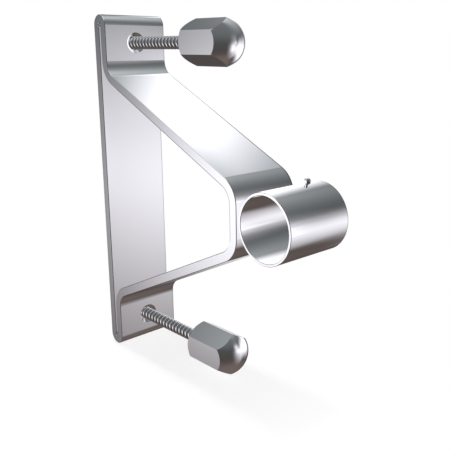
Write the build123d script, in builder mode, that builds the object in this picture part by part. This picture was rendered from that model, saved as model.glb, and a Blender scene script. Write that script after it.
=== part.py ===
from build123d import *
from math import cos, radians, sin, sqrt, tan
import os

# Wall bracket of one folded flat bar, which carries a short tube sleeve well clear of the wall.
# Frame: the origin is the centre of the back plate's rear face, which lies on the wall. +X points out of
# the wall, +Y along the sleeve and +Z up. All sizes are in millimetres.

# Flat bar and the loop that it is folded into.
BAR_THICKNESS = 7.0
BAR_WIDTH = 55.0
LOOP_HEIGHT = 275.0
HEM_GAP = 2.0
HEM_EYE = 3.0
PROJECTION = 166.0
ARM_SLOPE = 25.0
NOSE_HALF_HEIGHT = 23.9
BEND_INSIDE = 13.0
BAR_EDGE_BREAK = 0.4

# Screw holes through both layers of the two hemmed flanges.
HOLE_FROM_END = 21.5
HOLE_CLEARANCE = 0.75
HOLE_COUNTERSINK = 2.4
COUNTERSINK_ANGLE = 90.0

# Sleeve across the nose. It stands a little past the bar on its far side.
SLEEVE_DIAMETER = 48.3
SLEEVE_WALL = 2.0
SLEEVE_LENGTH = 55.0
SLEEVE_SHIFT = 1.8
SLEEVE_EDGE_BREAK = 0.3

# Weld seams in the wedge between sleeve and nose, above and below the line where the two touch.
WELD_ROOT = 5.0
WELD_REACH = 8.5
WELD_INSET = 3.0

# Wall studs, each started in its hole: past the front layer of the flange and up to the slot behind it.
STUD_DIAMETER = 10.0
STUD_LENGTH = 107.5
STUD_ENTRY = 8.0
STUD_TAPER = 5.0
STUD_TIP_DIAMETER = 6.6
STUD_END_BREAK = 0.6

# Domed hexagonal nuts on the outer ends of the studs.
NUT_ACROSS_FLATS = 29.0
NUT_LENGTH = 46.0
NUT_DOME_HEIGHT = 10.2
NUT_BACK_BREAK = 2.6
NUT_BORE_CLEARANCE = 0.15
NUT_GRIP = 24.0

# Small clamp screw through the top of the sleeve, its tip level with the bore.
CLAMP_DIAMETER = 2.5
CLAMP_CLEARANCE = 0.1
CLAMP_ALONG = 6.6
CLAMP_LEAN = 12.0
CLAMP_COUNTERSINK = 0.6
CLAMP_TIP_CLEARANCE = 0.2
CLAMP_LENGTH = 8.0
CLAMP_HEAD_ACROSS = 4.2
CLAMP_DOME = 1.9
CLAMP_RIM = 1.2
CLAMP_NECK = 1.1

# Places that follow from the sizes above.
HEM_RADIUS = BAR_THICKNESS + HEM_GAP / 2
HEM_CENTRE_X = HEM_RADIUS
HEM_CENTRE_Z = LOOP_HEIGHT / 2 - HEM_RADIUS
FLANGE_FRONT = 2 * HEM_RADIUS
BEND_OUTSIDE = BEND_INSIDE + BAR_THICKNESS
ARM_FOOT_Z = NOSE_HALF_HEIGHT + (PROJECTION - FLANGE_FRONT) * tan(radians(ARM_SLOPE))
HOLE_HEIGHT = LOOP_HEIGHT / 2 - HOLE_FROM_END
HOLE_RADIUS = STUD_DIAMETER / 2 + HOLE_CLEARANCE
SLEEVE_RADIUS = SLEEVE_DIAMETER / 2
SLEEVE_BORE = SLEEVE_RADIUS - SLEEVE_WALL
SLEEVE_X = PROJECTION + SLEEVE_RADIUS
SLEEVE_NEAR = SLEEVE_SHIFT - SLEEVE_LENGTH / 2
WELD_DEPTH = SLEEVE_RADIUS - sqrt(SLEEVE_RADIUS**2 - WELD_REACH**2)
WELD_FAR = BAR_WIDTH / 2 - WELD_INSET
WELD_LENGTH = WELD_FAR - SLEEVE_NEAR - WELD_INSET
STUD_START = FLANGE_FRONT - STUD_ENTRY
NUT_START = STUD_START + STUD_LENGTH - NUT_GRIP
NUT_CORNER = NUT_ACROSS_FLATS / 2 / cos(radians(30))
CLAMP_CORNER = CLAMP_HEAD_ACROSS / 2 / cos(radians(30))
CLAMP_HOLE = CLAMP_DIAMETER / 2 + CLAMP_CLEARANCE
CLAMP_WAY = Vector(sin(radians(CLAMP_LEAN)), 0, cos(radians(CLAMP_LEAN)))
SLEEVE_AXIS_POINT = Vector(SLEEVE_X, SLEEVE_SHIFT + CLAMP_ALONG, 0)


def loop_face(offset):
    """Corner points of the bar's outer side, moved inwards by offset, from the upper hem to the lower."""
    slope = radians(ARM_SLOPE)
    foot_x, nose_x = FLANGE_FRONT - offset, PROJECTION - offset
    foot_z = ARM_FOOT_Z - offset / cos(slope) + offset * tan(slope)
    nose_z = foot_z - (nose_x - foot_x) * tan(slope)
    upper = [(foot_x, HEM_CENTRE_Z), (foot_x, foot_z), (nose_x, nose_z)]
    return upper + [(x, -z) for x, z in reversed(upper)]


def loop_outline(offset, bends):
    """Closed outline of the loop at one side of the bar, with its two half-round hems."""
    with BuildLine(mode=Mode.PRIVATE) as outline:
        front = FilletPolyline(*loop_face(offset), radius=bends)
        lower_hem = RadiusArc(front @ 1, (offset, -HEM_CENTRE_Z), HEM_RADIUS - offset)
        rear = Line(lower_hem @ 1, (offset, HEM_CENTRE_Z))
        RadiusArc(rear @ 1, front @ 0, HEM_RADIUS - offset)
    return outline.line


def across_plane(origin, way):
    """Plane square to way, with its own X along the sleeve."""
    return Plane(origin, x_dir=(0, 1, 0), z_dir=way)


def along_plane(origin, way):
    """Plane that holds the turning axis: its own Y runs along way and its own X along the sleeve."""
    return Plane(origin, x_dir=(0, 1, 0), z_dir=Vector(0, 1, 0).cross(Vector(way)))


# Strap frame: the folded bar drawn from the side and pushed out both ways, then pierced for the studs.
stud_heights = {"upper": HOLE_HEIGHT, "lower": -HOLE_HEIGHT}

with BuildPart() as strap_frame:
    with BuildSketch(Plane.XZ):
        make_face(loop_outline(0, (BEND_INSIDE, BEND_OUTSIDE, BEND_OUTSIDE, BEND_INSIDE)))
        make_face(
            loop_outline(BAR_THICKNESS, (BEND_OUTSIDE, BEND_INSIDE, BEND_INSIDE, BEND_OUTSIDE)),
            mode=Mode.SUBTRACT,
        )
        with Locations((HEM_CENTRE_X, HEM_CENTRE_Z), (HEM_CENTRE_X, -HEM_CENTRE_Z)):
            Circle(HEM_EYE / 2, mode=Mode.SUBTRACT)
    extrude(amount=BAR_WIDTH / 2, both=True)
    chamfer(strap_frame.faces().filter_by(Axis.Y).edges(), BAR_EDGE_BREAK)
    with Locations(*[across_plane((FLANGE_FRONT, 0, height), (1, 0, 0)) for height in stud_heights.values()]):
        CounterSinkHole(
            HOLE_RADIUS, HOLE_RADIUS + HOLE_COUNTERSINK, FLANGE_FRONT, counter_sink_angle=COUNTERSINK_ANGLE
        )
strap_frame.part.label = "strap_frame"

# Sleeve: a short round tube with a small countersunk hole that leans outwards from the top.
with BuildPart() as sleeve_tube:
    with BuildSketch(Plane((SLEEVE_X, SLEEVE_NEAR, 0), x_dir=(1, 0, 0), z_dir=(0, 1, 0))):
        Circle(SLEEVE_RADIUS)
        Circle(SLEEVE_BORE, mode=Mode.SUBTRACT)
    extrude(amount=SLEEVE_LENGTH)
    chamfer(sleeve_tube.edges().filter_by(GeomType.CIRCLE), SLEEVE_EDGE_BREAK)
    with Locations(across_plane(SLEEVE_AXIS_POINT + CLAMP_WAY * SLEEVE_RADIUS, CLAMP_WAY)):
        CounterSinkHole(
            CLAMP_HOLE, CLAMP_HOLE + CLAMP_COUNTERSINK, 2 * SLEEVE_WALL, counter_sink_angle=COUNTERSINK_ANGLE
        )
sleeve_tube.part.label = "sleeve_tube"

# Clamp screw: a thin round shank that widens into a hexagonal rim with a domed top.
clamp_start = SLEEVE_AXIS_POINT + CLAMP_WAY * (SLEEVE_BORE + CLAMP_TIP_CLEARANCE)
clamp_rim_top = CLAMP_LENGTH - CLAMP_DOME
clamp_rim_base = clamp_rim_top - CLAMP_RIM

with BuildPart() as clamp_screw:
    with BuildSketch(across_plane(clamp_start, CLAMP_WAY)):
        RegularPolygon(CLAMP_CORNER, 6, rotation=30)
    extrude(amount=CLAMP_LENGTH)
    with BuildSketch(along_plane(clamp_start, CLAMP_WAY)):
        with BuildLine():
            side = Polyline(
                (0, 0),
                (CLAMP_DIAMETER / 2, 0),
                (CLAMP_DIAMETER / 2, clamp_rim_base - CLAMP_NECK),
                (CLAMP_CORNER, clamp_rim_base),
                (CLAMP_CORNER, clamp_rim_top),
            )
            dome = TangentArc((0, CLAMP_LENGTH), side @ 1, tangent=(1, 0))
            Line(dome @ 0, side @ 0)
        make_face()
    revolve(axis=Axis(clamp_start, CLAMP_WAY), mode=Mode.INTERSECT)
clamp_screw.part.label = "clamp_screw"

os.makedirs("parts", exist_ok=True)
export_step(strap_frame.part, "parts/strap_frame.step")
export_step(sleeve_tube.part, "parts/sleeve_tube.step")
export_step(clamp_screw.part, "parts/clamp_screw.step")

# Studs and their nuts, one of each for the upper and the lower flange.
nut_dome_start = NUT_LENGTH - NUT_DOME_HEIGHT
nut_bore = STUD_DIAMETER / 2 + NUT_BORE_CLEARANCE
outwards = Vector(1, 0, 0)

for name, height in stud_heights.items():
    stud_start = Vector(STUD_START, 0, height)
    nut_start = Vector(NUT_START, 0, height)

    with BuildPart() as stud:
        with BuildSketch(along_plane(stud_start, outwards)):
            with BuildLine():
                Polyline(
                    (0, 0),
                    (STUD_TIP_DIAMETER / 2, 0),
                    (STUD_DIAMETER / 2, STUD_TAPER),
                    (STUD_DIAMETER / 2, STUD_LENGTH - STUD_END_BREAK),
                    (STUD_DIAMETER / 2 - STUD_END_BREAK, STUD_LENGTH),
                    (0, STUD_LENGTH),
                    close=True,
                )
            make_face()
        revolve(axis=Axis(stud_start, outwards))
    stud.part.label = f"{name}_stud"
    export_step(stud.part, f"parts/{name}_stud.step")

    # The hexagon stands on a corner, and a turned outline trims its back corners and rounds its front.
    with BuildPart() as nut:
        with BuildSketch(across_plane(nut_start, outwards)):
            RegularPolygon(NUT_CORNER, 6, rotation=30)
        extrude(amount=NUT_LENGTH)
        with BuildSketch(along_plane(nut_start, outwards)):
            with BuildLine():
                side = Polyline(
                    (0, 0), (NUT_ACROSS_FLATS / 2, 0), (NUT_CORNER, NUT_BACK_BREAK), (NUT_CORNER, nut_dome_start)
                )
                dome = TangentArc((0, NUT_LENGTH), side @ 1, tangent=(1, 0))
                Line(dome @ 0, side @ 0)
            make_face()
        revolve(axis=Axis(nut_start, outwards), mode=Mode.INTERSECT)
        with Locations(across_plane(nut_start, outwards)):
            Cylinder(
                nut_bore,
                NUT_GRIP + NUT_BORE_CLEARANCE,
                align=(Align.CENTER, Align.CENTER, Align.MIN),
                mode=Mode.SUBTRACT,
            )
    nut.part.label = f"{name}_cap_nut"
    export_step(nut.part, f"parts/{name}_cap_nut.step")

# Weld seams: each fills the wedge between nose and sleeve over a short height, mirrored below the axis.
for name, side in (("upper", 1), ("lower", -1)):
    with BuildPart() as weld:
        with BuildSketch(Plane((0, WELD_FAR, 0), x_dir=(1, 0, 0), z_dir=(0, -1, 0))):
            with Locations((PROJECTION + WELD_DEPTH / 2, side * (WELD_ROOT + WELD_REACH) / 2)):
                Rectangle(WELD_DEPTH, WELD_REACH - WELD_ROOT)
            with Locations((SLEEVE_X, 0)):
                Circle(SLEEVE_RADIUS, mode=Mode.SUBTRACT)
        extrude(amount=WELD_LENGTH)
    weld.part.label = f"{name}_weld"
    export_step(weld.part, f"parts/{name}_weld.step")
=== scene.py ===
# %% [markdown]
# # Wall bracket with a tube sleeve
#
# A flat steel bar is folded into a trapezoid loop. Two long hex nuts with domed ends sit on threaded
# studs, and a short tube stands across the nose. The CAD model gives every size. This lesson adds what CAD
# leaves plain: the real threads, nuts with an even polish, the finish of each kind of steel, the room that
# the steel mirrors, the floor and the camera.

import math

import bpy
from mathutils import Matrix, Vector


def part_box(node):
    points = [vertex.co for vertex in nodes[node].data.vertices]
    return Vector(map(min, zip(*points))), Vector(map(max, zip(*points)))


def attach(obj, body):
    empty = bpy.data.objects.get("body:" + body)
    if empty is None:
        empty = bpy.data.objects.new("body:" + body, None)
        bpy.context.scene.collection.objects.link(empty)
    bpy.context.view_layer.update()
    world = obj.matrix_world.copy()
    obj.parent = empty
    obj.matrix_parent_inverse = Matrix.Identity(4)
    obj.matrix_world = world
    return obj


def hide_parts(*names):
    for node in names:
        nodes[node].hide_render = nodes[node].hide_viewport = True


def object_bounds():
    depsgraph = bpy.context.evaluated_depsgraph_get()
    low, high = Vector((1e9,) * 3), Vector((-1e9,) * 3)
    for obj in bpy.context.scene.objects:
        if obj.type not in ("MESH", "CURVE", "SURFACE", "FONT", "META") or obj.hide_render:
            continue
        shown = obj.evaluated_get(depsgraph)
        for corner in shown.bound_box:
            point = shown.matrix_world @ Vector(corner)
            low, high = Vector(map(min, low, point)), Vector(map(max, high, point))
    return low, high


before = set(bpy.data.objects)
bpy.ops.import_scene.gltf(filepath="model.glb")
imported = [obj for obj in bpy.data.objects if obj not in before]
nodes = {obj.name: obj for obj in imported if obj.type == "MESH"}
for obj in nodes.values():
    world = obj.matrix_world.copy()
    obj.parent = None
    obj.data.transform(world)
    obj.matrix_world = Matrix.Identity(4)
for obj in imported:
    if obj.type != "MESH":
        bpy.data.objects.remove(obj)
cad_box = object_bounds()
print("nodes", sorted(nodes), "box", [list(corner) for corner in cad_box])

# %% [markdown]
# ## Helpers for modelling
#
# Every modelling operator works on what is selected, and loading leaves all the CAD pieces selected. So
# each step starts by making one object the only selected one. The second helper adds a modifier and
# applies it, because a finished piece keeps plain mesh. The third opens a piece in edit mode with all of
# its mesh selected, which is where merging and cutting start.

# %% One object at a time
def only(piece):
    """Select this piece alone and make it the active one."""
    bpy.ops.object.select_all(action="DESELECT")
    piece.select_set(True)
    bpy.context.view_layer.objects.active = piece


def modified(piece, kind, **settings):
    """Add a modifier with these settings and apply it."""
    only(piece)
    modifier = piece.modifiers.new(kind.lower(), kind)
    for name, value in settings.items():
        setattr(modifier, name, value)
    bpy.ops.object.modifier_apply(modifier=modifier.name)


def open_whole_mesh(piece):
    """Go to edit mode with all of this piece's mesh selected."""
    only(piece)
    bpy.ops.object.mode_set(mode="EDIT")
    bpy.ops.mesh.select_all(action="SELECT")


# %% [markdown]
# ## An outline as a line of points
#
# Threads and nuts are turned shapes. Each starts as an open line of points beside the Z axis, which the
# Screw modifier then turns. Blender has no open line among its primitives, but a circle of points with one
# side deleted is one. Its points are then set out along the outline, each at its distance from the axis
# and its height.

# %% A circle opened into a line
def open_line(name, outline):
    """A line through these places, each a distance from the Z axis and a height."""
    bpy.ops.object.select_all(action="DESELECT")
    bpy.ops.mesh.primitive_circle_add(vertices=len(outline), radius=1)
    line = bpy.context.object
    line.name = name
    bpy.ops.object.mode_set(mode="EDIT")
    bpy.ops.mesh.select_mode(type="EDGE")
    bpy.ops.mesh.select_all(action="DESELECT")
    bpy.ops.object.mode_set(mode="OBJECT")
    for edge in line.data.edges:
        edge.select = set(edge.vertices) == {0, len(outline) - 1}
    bpy.ops.object.mode_set(mode="EDIT")
    bpy.ops.mesh.delete(type="EDGE")
    bpy.ops.mesh.select_mode(type="VERT")
    bpy.ops.object.mode_set(mode="OBJECT")
    for point, (radius, level) in zip(line.data.vertices, outline):
        point.co = (radius, 0, level)
    return line


# %% [markdown]
# ## The section of the thread
#
# The studs carry a coarse right-hand thread with a flat-topped ridge, as a hanger bolt does: its ridges
# stand well apart and read as separate rings even from a distance. The outline of those rings shows
# against the white floor, so the thread is real geometry and not a texture. Its section has eight points,
# which are half a groove, one ridge with rounded shoulders, and half a groove.

# %% One ridge of the thread
PITCH = 0.0043
CREST_RADIUS = 0.0050
ROOT_RADIUS = 0.0038
SHOULDER_RADIUS = CREST_RADIUS - 0.0002
RIDGE = [
    (ROOT_RADIUS, 0.00 * PITCH),
    (ROOT_RADIUS, 0.12 * PITCH),
    (SHOULDER_RADIUS, 0.30 * PITCH),
    (CREST_RADIUS, 0.38 * PITCH),
    (CREST_RADIUS, 0.62 * PITCH),
    (SHOULDER_RADIUS, 0.70 * PITCH),
    (ROOT_RADIUS, 0.88 * PITCH),
    (ROOT_RADIUS, 1.00 * PITCH),
]
print("thread pitch", PITCH, "depth", round(CREST_RADIUS - ROOT_RADIUS, 5))

# %% [markdown]
# ## Winding the thread
#
# A die cuts a thread by turning and moving on by one pitch each turn. The Screw modifier does the same to
# the line: it turns it about Z and lifts it by a pitch per turn, so the end of one turn meets the start of
# the next, and merging the doubled points gives one unbroken skin. It is wound longer than needed and then
# cut square at both ends with a filled bisect, which leaves a closed solid. Bisect counts points within a
# tenth of a millimetre as lying on the cut, so the ends are that uneven. It doesn't show, because one end
# is inside the nut and the other in the flange's hole.

# %% A closed threaded rod
STEPS_PER_TURN = 40
SPARE_TURNS = 2
MERGE = 1e-6
LEAD_IN = 1.5 * PITCH


def cut_square(level, below):
    """In edit mode, cut the rod at this level, drop what is below or above, and close the cut."""
    bpy.ops.mesh.select_all(action="SELECT")
    bpy.ops.mesh.bisect(
        plane_co=(0, 0, level), plane_no=(0, 0, 1), use_fill=True, clear_inner=below, clear_outer=not below
    )


def threaded_rod(name, length):
    """A rod of this length that stands on the origin along Z."""
    rod = open_line(name, RIDGE)
    modified(
        rod,
        "SCREW",
        angle=2 * math.pi,
        screw_offset=PITCH,
        iterations=math.ceil(length / PITCH) + SPARE_TURNS,
        steps=STEPS_PER_TURN,
        render_steps=STEPS_PER_TURN,
    )
    open_whole_mesh(rod)
    bpy.ops.mesh.remove_doubles(threshold=MERGE)
    cut_square(LEAD_IN, below=True)
    cut_square(LEAD_IN + length, below=False)
    bpy.ops.mesh.select_all(action="SELECT")
    bpy.ops.mesh.normals_make_consistent(inside=False)
    bpy.ops.object.mode_set(mode="OBJECT")
    rod.data.transform(Matrix.Translation((0, 0, -LEAD_IN)))
    return rod


# %% [markdown]
# ## Tip of the rod and its place
#
# The tip is ground to a blunt taper, so that it finds its way into the wall plug: near the end, every
# point is drawn in towards the axis. Each rod then takes the box of the plain stud that it replaces. The
# low side of that box is the tip, and the rod's Z axis turns to +X, out of the wall. Edges flatter than an
# angle are shaded smooth, so that a round form looks round and a sharp edge stays crisp.

# %% Taper a tip and stand a piece in its place
TIP_RADIUS = 0.0033
TIP_TAPER = 0.0050


def taper_tip(rod):
    """Draw the lowest stretch of the rod in towards its axis."""
    for point in rod.data.vertices:
        if point.co.z < TIP_TAPER:
            allowed = TIP_RADIUS + (CREST_RADIUS - TIP_RADIUS) * point.co.z / TIP_TAPER
            point.co.x *= allowed / CREST_RADIUS
            point.co.y *= allowed / CREST_RADIUS


def stand_in_place(piece, low, high, smooth_below):
    """Turn a piece from Z to X, set it into the box from low to high, and shade flat edges smooth."""
    middle = (low + high) / 2
    turn = Matrix.Rotation(math.pi / 2, 4, "Y")
    piece.data.transform(Matrix.Translation((low.x, middle.y, middle.z)) @ turn)
    only(piece)
    bpy.ops.object.shade_smooth_by_angle(angle=smooth_below)


def extent(piece):
    """How far a piece reaches along X, Y and Z."""
    spots = [point.co for point in piece.data.vertices]
    return [max(spot[axis] for spot in spots) - min(spot[axis] for spot in spots) for axis in range(3)]


def millimetres(sizes):
    """Sizes in metres as rounded millimetres, for printing."""
    return [round(1000 * size, 3) for size in sizes]


# %% [markdown]
# ## Threaded studs
#
# The ridges need a fairly wide smoothing angle, which rounds them along their turn and keeps their
# flanks crisp.

# %% Upper and lower threaded stud
SMOOTH_THREAD = math.radians(32)


def threaded_stud(name, node):
    """A threaded rod in the place of one CAD stud."""
    low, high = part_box(node)
    rod = threaded_rod(name, high.x - low.x)
    taper_tip(rod)
    stand_in_place(rod, low, high, SMOOTH_THREAD)
    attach(rod, "root")
    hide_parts(node)
    print(name, "extent", millimetres(extent(rod)), "cad", millimetres(high - low))
    return rod


upper_rod = threaded_stud("upper_threaded_stud", "upper_stud")
lower_rod = threaded_stud("lower_threaded_stud", "lower_stud")

# %% [markdown]
# ## Domed nuts with an even polish
#
# A mirror shows every unevenness of the mesh, above all at the crown of a dome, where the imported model's
# triangles are thin and cross at a point. So each nut is made again as the lathe makes it. A hexagon bar
# is trimmed by a turned outline: a short cone at the back, a straight length, and a dome of one single
# radius. The outline is a line of points that the Screw modifier turns once. The drill for the blind bore
# is turned in the same way.

# %% Turned outlines of nut and drill
DOME_HEIGHT = 0.0102
BACK_BREAK = 0.0026
DOME_RINGS = 28
TURN_STEPS = 144
BORE_RADIUS = 0.00515
BORE_DEPTH = 0.02415
DRILL = [
    (0, -BORE_RADIUS),
    (BORE_RADIUS, -BORE_RADIUS),
    (BORE_RADIUS, BORE_DEPTH),
    (0, BORE_DEPTH),
]


def turned_body(name, outline):
    """A solid turned about Z from an outline that starts and ends on the axis."""
    body = open_line(name, outline)
    modified(body, "SCREW", angle=2 * math.pi, steps=TURN_STEPS, render_steps=TURN_STEPS)
    open_whole_mesh(body)
    bpy.ops.mesh.remove_doubles(threshold=MERGE)
    bpy.ops.mesh.select_all(action="SELECT")
    bpy.ops.mesh.normals_make_consistent(inside=False)
    bpy.ops.object.mode_set(mode="OBJECT")
    return body


def nut_outline(flat_radius, corner_radius, length):
    """The outline that trims the bar, from the middle of the back to the crown of the dome."""
    dome_radius = (corner_radius**2 + DOME_HEIGHT**2) / (2 * DOME_HEIGHT)
    widest = math.asin(corner_radius / dome_radius)
    outline = [(0, 0), (flat_radius, 0), (corner_radius, BACK_BREAK)]
    for ring in range(DOME_RINGS + 1):
        angle = widest * (1 - ring / DOME_RINGS)
        level = length - dome_radius * (1 - math.cos(angle))
        outline.append((dome_radius * math.sin(angle), level))
    print("dome radius", round(dome_radius, 5), "points in the outline", len(outline))
    return outline


# %% [markdown]
# ## Trimming and drilling the nuts
#
# One Boolean modifier keeps what the hexagon bar and the turned body share, and a second one takes the
# drill out of it. A Boolean leaves some needle-thin triangles where a ring nearly meets a corner. They
# spoil the mesh for other programs, so points closer than a hundredth of a millimetre are merged at the
# end.

# %% Cutting a hexagon bar to shape
SLIVER = 0.00001


def hexagon_bar(name, corner_radius, length):
    """A hexagon bar that stands on the origin along Z, with two of its flats facing along Y."""
    bpy.ops.object.select_all(action="DESELECT")
    bpy.ops.mesh.primitive_cylinder_add(vertices=6, radius=corner_radius, depth=length)
    bar = bpy.context.object
    bar.name = name
    bar.data.transform(Matrix.Translation((0, 0, length / 2)) @ Matrix.Rotation(math.pi / 6, 4, "Z"))
    return bar


def cut_to_shape(piece, trim, drill):
    """Keep what the piece shares with one body, take the other out of it, and remove both bodies."""
    modified(piece, "BOOLEAN", operation="INTERSECT", solver="EXACT", object=trim)
    modified(piece, "BOOLEAN", operation="DIFFERENCE", solver="EXACT", object=drill)
    bpy.data.objects.remove(trim)
    bpy.data.objects.remove(drill)
    open_whole_mesh(piece)
    bpy.ops.mesh.remove_doubles(threshold=SLIVER)
    bpy.ops.mesh.dissolve_degenerate(threshold=SLIVER)
    bpy.ops.object.mode_set(mode="OBJECT")


# %% [markdown]
# ## Both nuts
#
# The bar's flats face along Y, so the hexagon stands on a corner, and its size comes from the box of the
# CAD nut: across the flats along Y and across the corners along Z. The smoothing angle is small, because
# the flats meet the dome and the back cone at shallow edges that have to stay crisp.

# %% Upper and lower nut
SMOOTH_NUT = math.radians(18)


def domed_nut(name, node):
    """A hexagon nut in the place of one CAD nut, its open back towards the wall."""
    low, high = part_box(node)
    length = high.x - low.x
    flat_radius = (high.y - low.y) / 2
    corner_radius = (high.z - low.z) / 2
    nut = hexagon_bar(name, corner_radius, length)
    trim = turned_body("trim", nut_outline(flat_radius, corner_radius, length))
    drill = turned_body("drill", DRILL)
    cut_to_shape(nut, trim, drill)
    stand_in_place(nut, low, high, SMOOTH_NUT)
    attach(nut, "root")
    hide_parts(node)
    print(name, "extent", millimetres(extent(nut)), "cad", millimetres(high - low))
    return nut


upper_nut = domed_nut("upper_domed_nut", "upper_cap_nut")
lower_nut = domed_nut("lower_domed_nut", "lower_cap_nut")

# %% [markdown]
# ## Shader maths as plain expressions
#
# A finish is a small calculation on every point of a surface. Node by node that is hard to read, so one
# class wraps a socket, and each plus, minus or times on it adds the Math node that does the same. Two soft
# steps, rise and band, do most of the work of saying where a mark or a light starts and ends.

# %% A socket that can be calculated with
class Wire:
    """One output socket of a shader tree, with arithmetic that adds Math nodes."""

    def __init__(self, sheet, socket):
        self.sheet, self.socket = sheet, socket

    def math(self, operation, *others):
        """A Math node with this value as its first input."""
        return self.sheet.node("ShaderNodeMath", {"operation": operation}, [self, *others])

    def __add__(self, other):
        return self.math("ADD", other)

    __radd__ = __add__

    def __mul__(self, other):
        return self.math("MULTIPLY", other)

    __rmul__ = __mul__

    def __sub__(self, other):
        return self.math("SUBTRACT", other)

    def __rsub__(self, other):
        return self.sheet.node("ShaderNodeMath", {"operation": "SUBTRACT"}, [other, self])

    def rise(self, low, high):
        """A soft step from 0 at low to 1 at high."""
        settings = {"interpolation_type": "SMOOTHSTEP"}
        return self.sheet.node(
            "ShaderNodeMapRange", settings, {"Value": self, "From Min": low, "From Max": high}
        )

    def band(self, low, low_full, high_full, high):
        """A soft strip: it rises from low to low_full and falls from high_full to high."""
        return self.rise(low, low_full) * (1 - self.rise(high_full, high))

    def between(self, start, end):
        """A value that goes from start to end while this one goes from 0 to 1."""
        return start + self * (end - start)

    def tinted(self, colour):
        """A colour scaled by this value."""
        return self.sheet.node("ShaderNodeVectorMath", {"operation": "SCALE"}, {0: colour, "Scale": self})


# %% [markdown]
# ## A sheet for one material
#
# A sheet empties a node tree and adds nodes to it. Its place is the point on the object in metres, which
# every finish below starts from, and axes splits it into x, y and z. Noise takes a stretch per axis: large
# numbers crowd the pattern along that axis, so unequal numbers draw it out into brush lines.

# %% A sheet of nodes
class Sheet:
    """The node tree of one material or world, emptied."""

    def __init__(self, owner):
        owner.use_nodes = True
        self.tree = owner.node_tree
        self.tree.nodes.clear()

    def node(self, kind, settings=None, inputs=None, output=0):
        """Add a node, give it its settings first and then its values or wires."""
        made = self.tree.nodes.new(kind)
        for name, value in (settings or {}).items():
            setattr(made, name, value)
        pairs = inputs.items() if isinstance(inputs, dict) else enumerate(inputs or [])
        for key, value in pairs:
            if isinstance(value, Wire):
                self.tree.links.new(value.socket, made.inputs[key])
            else:
                made.inputs[key].default_value = value
        return Wire(self, made.outputs[output])

    def place(self):
        """The point in the object's own coordinates, as one vector."""
        return self.node("ShaderNodeTexCoord", output=3)

    def axes(self, vector):
        """The three parts of a vector."""
        return [self.node("ShaderNodeSeparateXYZ", inputs=[vector], output=axis) for axis in range(3)]

    def noise(self, vector, stretch, detail=3.0):
        """Soft noise around 0.5, with this many waves per metre along each axis."""
        drawn = self.node("ShaderNodeVectorMath", {"operation": "MULTIPLY"}, [vector, stretch])
        return self.node("ShaderNodeTexNoise", inputs={"Vector": drawn, "Scale": 1.0, "Detail": detail})

    def surface(self, shader, output="ShaderNodeOutputMaterial"):
        """Lead a shader to the output."""
        self.tree.links.new(shader.socket, self.tree.nodes.new(output).inputs["Surface"])


# %% [markdown]
# ## What all the steel has in common
#
# Every piece is stainless steel, so its colour is only the strength of its mirror image, about 0.78 on
# most pieces, and its looks come from how smooth it is. No polished surface is even: wide faint patches
# are left by hands and cloths, and fine lines by the belt or the lathe. Each finish below gives three
# fields: how bright the metal is, how rough it is, and how high its fine relief stands. Brightness and
# roughness waver around a mean, and each noise that feeds them comes with the range that it adds.

# %% Steel from a brightness, a roughness and a relief
STEEL_TONE = 0.78
STEEL_TINT = (1.0, 0.998, 1.004)


def dressed(pieces, name):
    """Give the pieces one new material and return its empty sheet."""
    material = bpy.data.materials.new(name)
    for piece in pieces:
        piece.data.materials.clear()
        piece.data.materials.append(material)
    print(name, "on", [piece.name for piece in pieces])
    return Sheet(material)


def wavering(mean, *parts):
    """A value around this mean; each part is a noise around 0.5 and the range that it adds."""
    value = mean - sum(amount for noise, amount in parts) / 2
    for noise, amount in parts:
        value = value + amount * noise
    return value


def steel(sheet, tone, roughness, relief, relief_height):
    """A metal surface; relief goes from 0 to 1 and stands this many metres high."""
    bump = {"Strength": 1.0, "Distance": relief_height, "Height": relief}
    metal = {
        "Base Color": tone.tinted(STEEL_TINT),
        "Metallic": 1.0,
        "Roughness": roughness,
        "Normal": sheet.node("ShaderNodeBump", inputs=bump),
    }
    sheet.surface(sheet.node("ShaderNodeBsdfPrincipled", inputs=metal))


# %% [markdown]
# ## Places on the bar
#
# A finish changes from place to place, so it starts with masks: values that are 1 in one place of the bar
# and 0 elsewhere. The cut sides are known by their distance from the middle, along Y. The drilled holes
# are known by the distance from a stud's axis, and the round eye in which each fold ends by the distance
# from the fold's axis. The bar is the same above and below, so the height is taken without its sign.

# %% Cut sides, holes and eyes
bar_low, bar_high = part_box("strap_frame")
stud_low, stud_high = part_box("upper_stud")
STUD_HEIGHT = (stud_low.z + stud_high.z) / 2
SIDE_START = 0.0003
SIDE_FULL = 0.0001
HOLE_REACH = 0.0083
HOLE_BLUR = 0.0001
FOLD_RADIUS = 0.008
EYE_REACH = 0.0018
EYE_BLUR = 0.0003


def length_of(first, second):
    """The straight distance that two steps make, one square to the other."""
    return (first * first + second * second).math("SQRT")


sheet = dressed([nodes["strap_frame"]], "belt_polished_bar")
place = sheet.place()
x, y, z = sheet.axes(place)
upright = z.math("ABSOLUTE")
from_hole = length_of(y, upright - STUD_HEIGHT)
from_eye = length_of(x - FOLD_RADIUS, upright - (bar_high.z - FOLD_RADIUS))
cut_side = y.math("ABSOLUTE").rise(bar_high.y - SIDE_START, bar_high.y - SIDE_FULL)
drilled = 1 - from_hole.rise(HOLE_REACH - HOLE_BLUR, HOLE_REACH)
in_eye = 1 - from_eye.rise(EYE_REACH - EYE_BLUR, EYE_REACH)
print("bar from", round(bar_low.y, 4), "to", round(bar_high.y, 4), "studs at", round(STUD_HEIGHT, 4))

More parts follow.
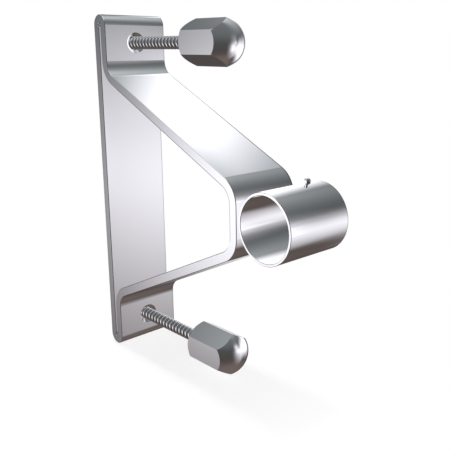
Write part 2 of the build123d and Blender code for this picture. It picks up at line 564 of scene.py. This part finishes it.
# %% [markdown]
# ## Painted shade lines along the bar's edges
#
# The far edges have a thin line of painted shade beside them, in place of the dark rim of their bevel. On
# the arms and the nose that line is wider and darker. A second line of painted shade follows the inner
# edge of the loop on the cut sides. How far a point is from that edge is measured from the middle of the
# bend
# between arm and nose: beside the nose as a plain step along X, beside the arm as a step square to the
# arm, and around the bend as a distance from the bend's middle. The line fades out before the lower arm.

# %% Masks of the painted shade lines
EDGE_SHADE_START = 0.0010
EDGE_SHADE_FULL = 0.0007
ARM_SHADE_WIDENING = 1.6
ARM_START = 0.02
ARM_FULL = 0.035
SLOPE = math.radians(25)
NOSE_HALF_HEIGHT = 0.0239
BEND_INSIDE = 0.013
BEND_OUTSIDE = 0.020
EDGE_BREAK = 0.0004
INNER_LINE_FULL = 0.0004
INNER_LINE_END = 0.0007
INNER_LINE_LOW = -0.016
INNER_LINE_LOW_FULL = -0.012

on_arm = x.rise(ARM_START, ARM_FULL)
# Painted shade beside the far edges, wider and darker on the arms and the nose.
far_edge_shade = y.rise(bar_high.y - EDGE_SHADE_START, bar_high.y - EDGE_SHADE_FULL)
arm_edge_shade = y.rise(bar_high.y - ARM_SHADE_WIDENING * EDGE_SHADE_START, bar_high.y - ARM_SHADE_WIDENING * EDGE_SHADE_FULL) * on_arm

bend_height = NOSE_HALF_HEIGHT + BEND_OUTSIDE * (math.tan(SLOPE) - 1 / math.cos(SLOPE))
out = x - (bar_high.x - BEND_OUTSIDE)
up = (upright - bend_height).math("MAXIMUM", 0.0)
square_to_arm = out * math.sin(SLOPE) + up * math.cos(SLOPE)
around_bend = (up * math.sin(SLOPE) - out * math.cos(SLOPE)).math("MINIMUM", 0.0)
from_inside = length_of(square_to_arm, around_bend) - (BEND_INSIDE + EDGE_BREAK)
# Painted shade along the inner edge of the loop, on the cut sides.
inner_edge_shade = (1 - from_inside.rise(INNER_LINE_FULL, INNER_LINE_END)) * cut_side * on_arm
inner_edge_shade = inner_edge_shade * z.rise(INNER_LINE_LOW, INNER_LINE_LOW_FULL)
print("middle of the bend at x", round(bar_high.x - BEND_OUTSIDE, 4), "z", round(bend_height, 5))

# %% [markdown]
# ## Belt polish and ground sides
#
# The bar is polished lengthwise with a belt before it is folded, so its lines follow the bar around every
# bend. They vary across the bar, along Y, and hardly at all in the plane of the loop. The two cut sides
# are ground later and have short crossing marks, and the drilled holes have rings about their own axis.
# No belt reaches the eyes of the folds, so they are rougher; their colour is also darkened there as
# painted shade inside the fold.

# %% Belt-polished bar
# Tones of the painted shade lines and of the painted shade in the eyes of the folds.
EDGE_SHADE_TONE = 0.35
ARM_EDGE_SHADE_TONE = 0.28
INNER_EDGE_SHADE_TONE = 0.42
EYE_SHADE_TONE = 0.5
DRILL_RING_WAVE = 9000.0
BELT_RELIEF = 0.0000012

patches = sheet.noise(place, (18.0, 26.0, 18.0))
belt_lines = sheet.noise(place, (14.0, 1500.0, 14.0), detail=2.0)
cross_marks = sheet.noise(place, (900.0, 60.0, 900.0), detail=2.0)
rings = (from_hole * DRILL_RING_WAVE).math("SINE") * 0.5 + 0.5
lines = belt_lines * (1 - cut_side) + cross_marks * cut_side
relief = lines * (1 - drilled) + rings * drilled
# Painted shade: darker in the eyes of the folds.
tone = wavering(STEEL_TONE, (lines, 0.025), (patches, 0.015)) * in_eye.between(1, EYE_SHADE_TONE)
# Painted shade: darker beside the far edges and along the inner edge of the loop.
tone = tone * far_edge_shade.between(1, EDGE_SHADE_TONE) * arm_edge_shade.between(1, ARM_EDGE_SHADE_TONE)
tone = tone * inner_edge_shade.between(1, INNER_EDGE_SHADE_TONE)
roughness = wavering(0.14, (lines, 0.05), (patches, 0.06)) + 0.04 * cut_side + 0.25 * in_eye
steel(sheet, tone, roughness, relief, BELT_RELIEF)
print("bar finish", len(sheet.tree.nodes), "nodes")

# %% [markdown]
# ## Tube sleeve
#
# The sleeve is cut from drawn tube and polished while it spins, so its lines run around it and vary only
# along its axis, Y. Handling leaves wide smooth patches. Its far edge has the same line of painted shade
# as the bar.

# %% Spun polish on the sleeve
SPUN_RELIEF = 0.000001

sheet = dressed([nodes["sleeve_tube"]], "spun_tube")
place = sheet.place()
y = sheet.axes(place)[1]
patches = sheet.noise(place, (30.0, 22.0, 30.0))
spun_lines = sheet.noise(place, (6.0, 1900.0, 6.0), detail=2.0)
sleeve_low, sleeve_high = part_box("sleeve_tube")
# Painted shade: a thin dark line beside the sleeve's far edge.
far_edge_shade = y.rise(sleeve_high.y - EDGE_SHADE_START, sleeve_high.y - EDGE_SHADE_FULL)
tone = wavering(STEEL_TONE, (spun_lines, 0.02), (patches, 0.02)) * far_edge_shade.between(1, EDGE_SHADE_TONE)
roughness = wavering(0.135, (spun_lines, 0.04), (patches, 0.05))
steel(sheet, tone, roughness, spun_lines, SPUN_RELIEF)
print("sleeve from", round(sleeve_low.y, 4), "to", round(sleeve_high.y, 4))

# %% [markdown]
# ## Weld seams
#
# The seams sit in the narrow wedge between sleeve and nose. A weld bead is a row of overlapping ripples
# across its travel, and the heat leaves a dull film that is brightest on the ripples' crests. A little
# noise makes the ripples wander, because no hand moves quite evenly.

# %% Rippled welds
RIPPLE_WAVE = 2 * math.pi / 0.0018
RIPPLE_WANDER = 5.0
RIPPLE_RELIEF = 0.00006

sheet = dressed([nodes["upper_weld"], nodes["lower_weld"]], "rippled_weld")
place = sheet.place()
y = sheet.axes(place)[1]
wander = sheet.noise(place, (400.0, 120.0, 400.0))
ripples = (y * RIPPLE_WAVE + wander * RIPPLE_WANDER).math("SINE") * 0.5 + 0.5
tone = wavering(0.6, (ripples, 0.2), (wander, 0.08))
roughness = wavering(0.34, (ripples, -0.1), (wander, 0.1))
steel(sheet, tone, roughness, ripples, RIPPLE_RELIEF)

# %% [markdown]
# ## Finish of the nuts
#
# The nuts are turned from hexagon bar. Their flats keep the lines of the drawn bar, along X, and the dome
# and the trimmed corners have the lathe's rings. Both are the same field: lines that vary with the
# distance from the nut's own axis. On a flat they lie along X, and on the dome they become rings. The
# nuts are given a brighter tone than the bar.

# %% Turned and drawn nuts
NUT_TONE = 0.87
TURNED_RELIEF = 0.0000002

sheet = dressed([upper_nut, lower_nut, nodes["upper_cap_nut"], nodes["lower_cap_nut"]], "turned_hexagon")
place = sheet.place()
x, y, z = sheet.axes(place)
from_axis = length_of(y, z.math("ABSOLUTE") - STUD_HEIGHT)
ring_place = sheet.node("ShaderNodeCombineXYZ", inputs=[from_axis, x, 0.0])
turned_lines = sheet.noise(ring_place, (2200.0, 12.0, 1.0), detail=2.0)
patches = sheet.noise(place, (45.0, 45.0, 45.0))
tone = wavering(NUT_TONE, (turned_lines, 0.02), (patches, 0.02))
roughness = wavering(0.135, (turned_lines, 0.04), (patches, 0.05))
steel(sheet, tone, roughness, turned_lines, TURNED_RELIEF)

# %% [markdown]
# ## Finish of the studs
#
# A rolled thread is smooth on its crests, where the rollers press hardest, and rougher in its grooves,
# which are also coloured darker. The distance from the stud's axis tells crest from groove.

# %% Bright crests and dull grooves
GROOVE_TONE = 0.52
SPECK_RELIEF = 0.000004

sheet = dressed([upper_rod, lower_rod, nodes["upper_stud"], nodes["lower_stud"]], "rolled_thread")
place = sheet.place()
x, y, z = sheet.axes(place)
crest = length_of(y, z.math("ABSOLUTE") - STUD_HEIGHT).rise(ROOT_RADIUS, SHOULDER_RADIUS)
specks = sheet.noise(place, (700.0, 700.0, 700.0))
tone = wavering(crest.between(GROOVE_TONE, STEEL_TONE), (specks, 0.06))
roughness = wavering(crest.between(0.33, 0.16), (specks, 0.06))
steel(sheet, tone, roughness, specks, SPECK_RELIEF)

# %% [markdown]
# ## Clamp screw
#
# The small screw is a bought part with a duller, tumbled finish: fine dimples without direction.

# %% Tumbled screw
DIMPLE_RELIEF = 0.00001

sheet = dressed([nodes["clamp_screw"]], "tumbled_screw")
dimples = sheet.noise(sheet.place(), (1300.0, 1300.0, 1300.0), detail=4.0)
steel(sheet, wavering(0.77, (dimples, 0.1)), wavering(0.18, (dimples, 0.1)), dimples, DIMPLE_RELIEF)

# %% [markdown]
# ## The room that the steel mirrors
#
# Polished steel has hardly a colour of its own. What reads as steel is a studio with a few large soft
# lights and dark gaps between them. The studio stands around the bracket as three balls, one inside the
# other, which only reflections see. Because the first two are near, a flat face mirrors a changing part of
# them, and that gives the arm its long soft gradient. They are see-through paint: each adds its own light
# and lets the reflection go on to the next ball.
#
# A point on a ball has a bearing, in degrees from +X towards +Y, and a height, in degrees above the level
# of the bracket. A soft light is a band of bearings crossed with a band of heights.

# %% A ball of light with bearing and height
ROOM_CENTRE = (0.17, 0.05, 0.0)
LIGHT_TINT = (1.0, 0.995, 1.06)


class LightBall(Sheet):
    """The paint of a ball around the bracket that only reflections see."""

    def __init__(self, name, radius):
        bpy.ops.object.select_all(action="DESELECT")
        bpy.ops.mesh.primitive_uv_sphere_add(
            segments=64, ring_count=32, radius=radius, location=ROOM_CENTRE
        )
        ball = bpy.context.object
        ball.name = name
        ball.visible_camera = False
        ball.visible_diffuse = False
        ball.visible_shadow = False
        paint = bpy.data.materials.new(name)
        ball.data.materials.append(paint)
        super().__init__(paint)
        from_centre = self.node("ShaderNodeVectorMath", {"operation": "NORMALIZE"}, [self.place()])
        x, y, z = self.axes(from_centre)
        self.bearing = y.math("ARCTAN2", x) * math.degrees(1)
        self.height = z.math("ARCSINE") * math.degrees(1)
        print(name, "radius", radius)

    def light(self, strength, bearings, heights):
        """A soft light; bearings and heights are four degrees each: start, full, full and end."""
        return strength * self.bearing.band(*bearings) * self.height.band(*heights)

    def shine(self, colour, see_through):
        """Emit this colour, raised so that steel shows it at full strength."""
        glow = self.node("ShaderNodeEmission", inputs={"Color": colour, "Strength": 1.0 / STEEL_TONE})
        if see_through:
            clear = self.node("ShaderNodeBsdfTransparent")
            glow = self.node("ShaderNodeAddShader", inputs=[glow, clear])
        self.surface(glow)


# %% [markdown]
# ## Pieces out of each other's mirror image
#
# Real polished steel also mirrors its neighbours. A catalogue drawing leaves that out, so that each piece
# shows the lights alone and stays clean. The same is done here: all the pieces are hidden from the rays
# that make reflections.

# %% Pieces hidden from reflections
steel_pieces = [*nodes.values(), upper_rod, lower_rod, upper_nut, lower_nut]
for piece in steel_pieces:
    piece.visible_glossy = False
print("hidden from reflections", [piece.name for piece in steel_pieces])

# %% [markdown]
# ## Ground and sky of the room
#
# The ground is a warm brown-grey and the sky a cool slate, and they melt into each other around the
# horizon. The ground is lighter straight below. The sky is lighter high up, most of all overhead towards
# the back, and it has a second pale patch behind the wall.

# %% Ground and sky
NEAR_RADIUS = 0.55
HORIZON_LIGHT = 0.065
GROUND_TINT = (1.0, 0.80, 0.74)
SKY_TINT = (0.933, 1.0, 1.035)

room = LightBall("near_room", NEAR_RADIUS)
bearing, height = room.bearing, room.height
overhead = bearing.rise(0, 170) * (1 - bearing.rise(152, 176)) * height.rise(18, 84)
behind = bearing.band(-180, -168, -158, -138) * height.rise(14, 44)
sky = HORIZON_LIGHT + 0.054 * height.rise(0, 50) + 0.021 * height.rise(45, 80)
sky = sky + 0.51 * overhead + 0.23 * behind
ground = HORIZON_LIGHT + 0.069 * (1 - height.rise(-75, -25))
above = height.rise(-51, 33)


def plus(first, second):
    """The sum of two colours."""
    return room.node("ShaderNodeVectorMath", {"operation": "ADD"}, [first, second])


around = plus((sky * above).tinted(SKY_TINT), (ground * (1 - above)).tinted(GROUND_TINT))
print("ground and sky", len(room.tree.nodes), "nodes")

# %% [markdown]
# ## Soft lights of the room
#
# A broad light on the right starts tall beside the nuts and narrows to a bright low strip, which draws the
# white line along the sleeve. A faint one above it softens its upper edge. A panel at the back whitens the
# sloping arm and ends sharply at its top, which gives the arm its slate end. A strip on the left lights
# the cut sides, and a soft dip in it keeps them from going all white.

# %% Lights on the right, at the back and on the left
narrowing = bearing.rise(43, 60)
dropping = bearing.rise(50, 84)
right_low = height.rise(narrowing.between(-68, -48), narrowing.between(7, -8) - 9 * dropping)
right_high = height.rise(narrowing.between(-18, -6.5), narrowing.between(21, 31))
right_light = 1.1 * bearing.band(-11, 47, 98, 114) * right_low * (1 - right_high)
faint_light = room.light(0.225, (0, 33, 34, 50), (2, 15, 10, 49))
back_light = room.light(1.27, (109, 147, 139, 163), (-39, -14, 47.5, 52.5))
left_dip = 0.8 * height.rise(-10, 24) - 0.4 * height.rise(36, 56)
left_light = room.light(1.08, (-161, -130, -104, -84), (-48, -9, 66, 84)) * (1 - left_dip)
lights = right_light + faint_light + back_light + left_light
room.shine(plus(around, lights.tinted(LIGHT_TINT)), see_through=True)
print("whole room", len(room.tree.nodes), "nodes")

# %% [markdown]
# ## A close panel for the domes
#
# The two domes show the broad light at different heights: the upper dome low and the lower dome high. So
# part of that light is close by, level with the sleeve and between both nuts. It stands at a bearing that
# nothing but the domes looks at.

# %% Close panel
CLOSE_RADIUS = 0.30

close = LightBall("close_panel", CLOSE_RADIUS)
dome_light = close.light(0.38, (0, 18, 25, 34), (-32, -12, 8, 27))
close.shine(dome_light.tinted(LIGHT_TINT), see_through=True)

# %% [markdown]
# ## A far panel for the flanges
#
# The wall flanges and the plate face the far end of the studio. One soft panel there lifts the upper
# flange and the top of the plate and leaves the sleeve alone, which looks past it. Its middle is a little
# brighter than the rest. Nothing lies behind this ball, so it isn't see-through.

# %% Far panel
FAR_RADIUS = 2.0

far = LightBall("far_panel", FAR_RADIUS)
panel = far.light(0.19, (24, 37, 38, 43), (-6.5, -1.5, -4, 16))
panel_middle = far.light(0.3, (33, 39, 40, 44), (-3, 0.5, 2, 6))
far.shine((panel + panel_middle).tinted(LIGHT_TINT), see_through=False)

# %% [markdown]
# ## Floor and its shadow
#
# The bracket stands on white paper, and a lamp far above throws its shadow straight down. Most of
# the paper's white is its own glow, so the shadow stays as light as in a catalogue picture. The lamp's
# share fades along X, away from the wall side, and the glow makes up for it: the shadow is clearest by the
# plate, which touches the paper, and melts away under the nose, which is far above it.

# %% Paper floor
FLOOR_SIZE = 12
FLOOR_WHITE = 1.005
LAMP_SHARE = 0.15
FLOOR_TONE = 0.5
SHADOW_START = 0.05
SHADOW_END = 0.27
FLOOR_GAP = 0.001
WHITE = (1.0, 1.0, 1.0)

bpy.ops.object.select_all(action="DESELECT")
bpy.ops.mesh.primitive_plane_add(size=FLOOR_SIZE, location=(0, 0, cad_box[0][2] - FLOOR_GAP))
floor = bpy.context.object
floor.name = "paper_floor"
floor.visible_glossy = False
paper = bpy.data.materials.new("paper")
floor.data.materials.append(paper)
sheet = Sheet(paper)
x = sheet.axes(sheet.place())[0]
shadow_share = 1 - x.rise(SHADOW_START, SHADOW_END)
paper_colour = (FLOOR_TONE * shadow_share).tinted(WHITE)
glow_colour = (FLOOR_WHITE - LAMP_SHARE * shadow_share).tinted(WHITE)
lit = sheet.node("ShaderNodeBsdfDiffuse", inputs={"Color": paper_colour})
own_glow = sheet.node("ShaderNodeEmission", inputs={"Color": glow_colour, "Strength": 1.0})
sheet.surface(sheet.node("ShaderNodeAddShader", inputs=[lit, own_glow]))
print("floor at", round(floor.location.z, 4))

# %% [markdown]
# ## Lamp above
#
# A sun lamp shines straight down by itself. Its strength is worked out from the paper's tone, so that it
# adds exactly the share of white that the paper's glow leaves out. Its disc is 8 degrees wide, which gives
# the shadow a soft edge.

# %% Lamp
LAMP_DISC = math.radians(8)

lamp_data = bpy.data.lights.new("overhead_lamp", "SUN")
lamp_data.energy = LAMP_SHARE * math.pi / FLOOR_TONE
lamp_data.angle = LAMP_DISC
lamp = bpy.data.objects.new("overhead_lamp", lamp_data)
lamp.visible_glossy = False
bpy.context.scene.collection.objects.link(lamp)
print("lamp strength", round(lamp_data.energy, 3))

# %% [markdown]
# ## World
#
# The camera sees white past the floor's edge. Nothing else takes light from the world, so the floor's
# shadow comes from the lamp alone.

# %% White for the camera only
world = bpy.data.worlds.new("studio")
bpy.context.scene.world = world
sheet = Sheet(world)
camera_ray = sheet.node("ShaderNodeLightPath", output=0)
white = {"Color": camera_ray.tinted(WHITE), "Strength": 1.0}
sheet.surface(sheet.node("ShaderNodeBackground", inputs=white), "ShaderNodeOutputWorld")
print("world", world.name)

# %% [markdown]
# ## Camera
#
# The camera stands half a metre out from the wall, on the near side of the sleeve and 11 cm above its
# middle. It is turned by a heading and tilted down by a pitch, and its sensor is shifted, which sets the
# bracket in the picture without turning the camera any further.

# %% Camera
CAMERA_PLACE = (0.48026, -0.30379, 0.11297)
CAMERA_HEADING = math.radians(45.43)
CAMERA_PITCH = math.radians(13.164)
CAMERA_LENS = 52.74
CAMERA_SHIFT_X = -0.10514
CAMERA_SHIFT_Y = -0.05348
CAMERA_CLIP = 0.01

back = Vector(
    (
        math.sin(CAMERA_HEADING) * math.cos(CAMERA_PITCH),
        -math.cos(CAMERA_HEADING) * math.cos(CAMERA_PITCH),
        math.sin(CAMERA_PITCH),
    )
)
right = Vector((math.cos(CAMERA_HEADING), math.sin(CAMERA_HEADING), 0))
facing = Matrix((right, back.cross(right), back)).transposed().to_4x4()
camera_data = bpy.data.cameras.new("camera")
camera_data.lens = CAMERA_LENS
camera_data.shift_x = CAMERA_SHIFT_X
camera_data.shift_y = CAMERA_SHIFT_Y
camera_data.clip_start = CAMERA_CLIP
camera = bpy.data.objects.new("camera", camera_data)
camera.matrix_world = Matrix.Translation(CAMERA_PLACE) @ facing
bpy.context.scene.collection.objects.link(camera)
bpy.context.scene.camera = camera
bpy.context.scene.view_settings.view_transform = "Standard"
print("camera at", CAMERA_PLACE, "lens", CAMERA_LENS)
